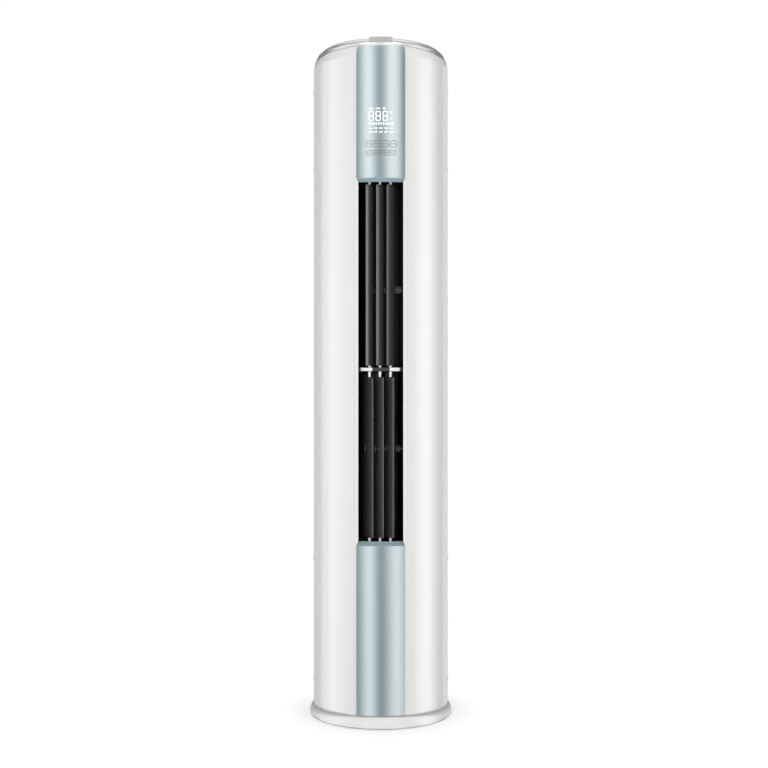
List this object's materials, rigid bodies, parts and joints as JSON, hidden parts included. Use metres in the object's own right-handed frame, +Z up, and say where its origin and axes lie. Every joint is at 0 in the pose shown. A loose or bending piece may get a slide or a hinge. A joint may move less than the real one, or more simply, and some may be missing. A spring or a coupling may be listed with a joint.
{
  "type": "floor standing air conditioner",
  "caption": "Tall round floor standing air conditioner with a long front outlet, upright swinging louvres, a rear intake with pull-off grilles and a sloped foot.",
  "frame": {"origin": "centre of the footprint on the floor", "axes": "+Z up, the outlet faces -Y, +X to the right seen from the front"},
  "size_m": [0.39, 0.39, 1.818],
  "materials": {
    "side_white": "smooth semi-gloss white powder coat",
    "moulded_white": "smooth semi-gloss white moulding",
    "grille_white": "white moulding, fine texture",
    "panel_blue": "pale blue silver metallic, satin, fine upright brushing",
    "ring_bright": "bright plated ring",
    "lid_white": "gloss white",
    "receiver_grey": "grey, satin",
    "duct_black": "black, matte",
    "blade_dark": "charcoal, satin",
    "drive_dark": "dark grey acetal",
    "bar_dark": "dark brown moulding",
    "bush_white": "natural acetal",
    "galvanised": "galvanised sheet",
    "fan_grey": "grey moulding",
    "foam_black": "black moulding",
    "fin_aluminium": "thin fins, coated",
    "copper_tube": "drawn copper",
    "union_brass": "turned brass",
    "tray_white": "white moulding",
    "rubber_black": "black rubber",
    "motor_grey": "grey enamel",
    "board_green": "circuit board",
    "capacitor_silver": "drawn can",
    "terminal_cream": "cream moulding",
    "display_black": "black moulding",
    "filter_grey": "fine net in a ribbed frame"
  },
  "bodies": {
    "cabinet": {"foot_pads": "rubber_black", "base_pan": "galvanised", "base_skirt": "moulded_white", "side_columns": "galvanised", "top_frame": "galvanised", "left_side_casing": "side_white", "right_side_casing": "side_white", "rear_lower_cover": "side_white", "rear_upper_cover": "side_white", "front_frame": "moulded_white", "upper_front_panel": "panel_blue", "lower_front_panel": "panel_blue", "top_trim_ring": "ring_bright", "top_lid": "lid_white", "receiver_window": "receiver_grey", "outlet_duct": "duct_black", "centre_bar": "bar_dark", "louvre_bushes": "bush_white", "volute_wall": "foam_black", "cutoff_tongue": "foam_black", "upper_partition": "galvanised", "lower_partition": "galvanised", "fan_bearing": "rubber_black", "bearing_bracket": "galvanised", "fan_motor": "motor_grey", "motor_mount": "galvanised", "evaporator_fins": "fin_aluminium", "coil_end_plates": "galvanised", "return_bends": "copper_tube", "coil_pipes": "copper_tube", "flare_unions": "union_brass", "drain_pan": "tray_white", "drain_spigot": "tray_white", "pipe_hole_bushing": "rubber_black", "cable_gland": "rubber_black", "control_shelf": "galvanised", "control_box": "galvanised", "control_box_cover": "galvanised", "main_board": "board_green", "capacitor": "capacitor_silver", "terminal_block": "terminal_cream", "display_housing": "display_black", "display_board": "board_green", "room_sensor": "rubber_black", "swing_motors": "motor_grey"},
    "fan": {"crossflow_fan": "fan_grey"},
    "upper_blade_left": {"upper_louvre_left": "blade_dark"},
    "upper_blade_centre": {"upper_louvre_centre": "blade_dark"},
    "upper_blade_right": {"upper_louvre_right": "blade_dark"},
    "upper_link": {"upper_link_bar": "drive_dark"},
    "upper_crank_arm": {"upper_crank": "drive_dark"},
    "upper_grille": {"upper_intake_grille": "grille_white", "upper_filter": "filter_grey"},
    "lower_blade_left": {"lower_louvre_left": "blade_dark"},
    "lower_blade_centre": {"lower_louvre_centre": "blade_dark"},
    "lower_blade_right": {"lower_louvre_right": "blade_dark"},
    "lower_link": {"lower_link_bar": "drive_dark"},
    "lower_crank_arm": {"lower_crank": "drive_dark"},
    "lower_grille": {"lower_intake_grille": "grille_white", "lower_filter": "filter_grey"}
  },
  "joints": [
    {"name": "fan_spin", "type": "hinge", "parent": "cabinet", "child": "fan", "pos_m": [0, -0.035, 0.96], "axis": [0, 0, 1], "continuous": true},
    {"name": "upper_louvre_swing", "type": "hinge", "parent": "cabinet", "child": "upper_blade_centre", "pos_m": [-0.0021, -0.15, 1.1528], "axis": [0, 0, 1], "range_deg": [-4, 86]},
    {"name": "upper_left_blade_turn", "type": "hinge", "parent": "cabinet", "child": "upper_blade_left", "pos_m": [-0.0298, -0.15, 1.1528], "axis": [0, 0, 1], "range_deg": [-4, 86]},
    {"name": "upper_right_blade_turn", "type": "hinge", "parent": "cabinet", "child": "upper_blade_right", "pos_m": [0.0256, -0.15, 1.1528], "axis": [0, 0, 1], "range_deg": [-4, 86]},
    {"name": "upper_crank_turn", "type": "hinge", "parent": "cabinet", "child": "upper_crank_arm", "pos_m": [0.086, -0.132, 1.1528], "axis": [0, 0, 1], "range_deg": [-4, 86]},
    {"name": "upper_link_pivot", "type": "hinge", "parent": "upper_blade_centre", "child": "upper_link", "pos_m": [0.00971, -0.13642, 1.1528], "axis": [0, 0, 1], "range_deg": [-86, 4]},
    {"name": "lower_louvre_swing", "type": "hinge", "parent": "cabinet", "child": "lower_blade_centre", "pos_m": [-0.0021, -0.15, 0.7315], "axis": [0, 0, 1], "range_deg": [-86, 4]},
    {"name": "lower_left_blade_turn", "type": "hinge", "parent": "cabinet", "child": "lower_blade_left", "pos_m": [-0.0298, -0.15, 0.7315], "axis": [0, 0, 1], "range_deg": [-86, 4]},
    {"name": "lower_right_blade_turn", "type": "hinge", "parent": "cabinet", "child": "lower_blade_right", "pos_m": [0.0256, -0.15, 0.7315], "axis": [0, 0, 1], "range_deg": [-86, 4]},
    {"name": "lower_crank_turn", "type": "hinge", "parent": "cabinet", "child": "lower_crank_arm", "pos_m": [0.086, -0.132, 0.7315], "axis": [0, 0, 1], "range_deg": [-86, 4]},
    {"name": "lower_link_pivot", "type": "hinge", "parent": "lower_blade_centre", "child": "lower_link", "pos_m": [-0.01391, -0.13642, 0.7315], "axis": [0, 0, 1], "range_deg": [-4, 86]},
    {"name": "upper_grille_pull", "type": "slide", "parent": "cabinet", "child": "upper_grille", "axis": [0, 1, 0], "range_m": [0, 0.12]},
    {"name": "lower_grille_pull", "type": "slide", "parent": "cabinet", "child": "lower_grille", "axis": [0, 1, 0], "range_m": [0, 0.12]}
  ],
  "couplings": [
    {"joint": "upper_left_blade_turn", "follows": "upper_louvre_swing", "ratio": 1},
    {"joint": "upper_right_blade_turn", "follows": "upper_louvre_swing", "ratio": 1},
    {"joint": "upper_crank_turn", "follows": "upper_louvre_swing", "ratio": 1},
    {"joint": "upper_link_pivot", "follows": "upper_louvre_swing", "ratio": -1},
    {"joint": "lower_left_blade_turn", "follows": "lower_louvre_swing", "ratio": 1},
    {"joint": "lower_right_blade_turn", "follows": "lower_louvre_swing", "ratio": 1},
    {"joint": "lower_crank_turn", "follows": "lower_louvre_swing", "ratio": 1},
    {"joint": "lower_link_pivot", "follows": "lower_louvre_swing", "ratio": -1}
  ]
}
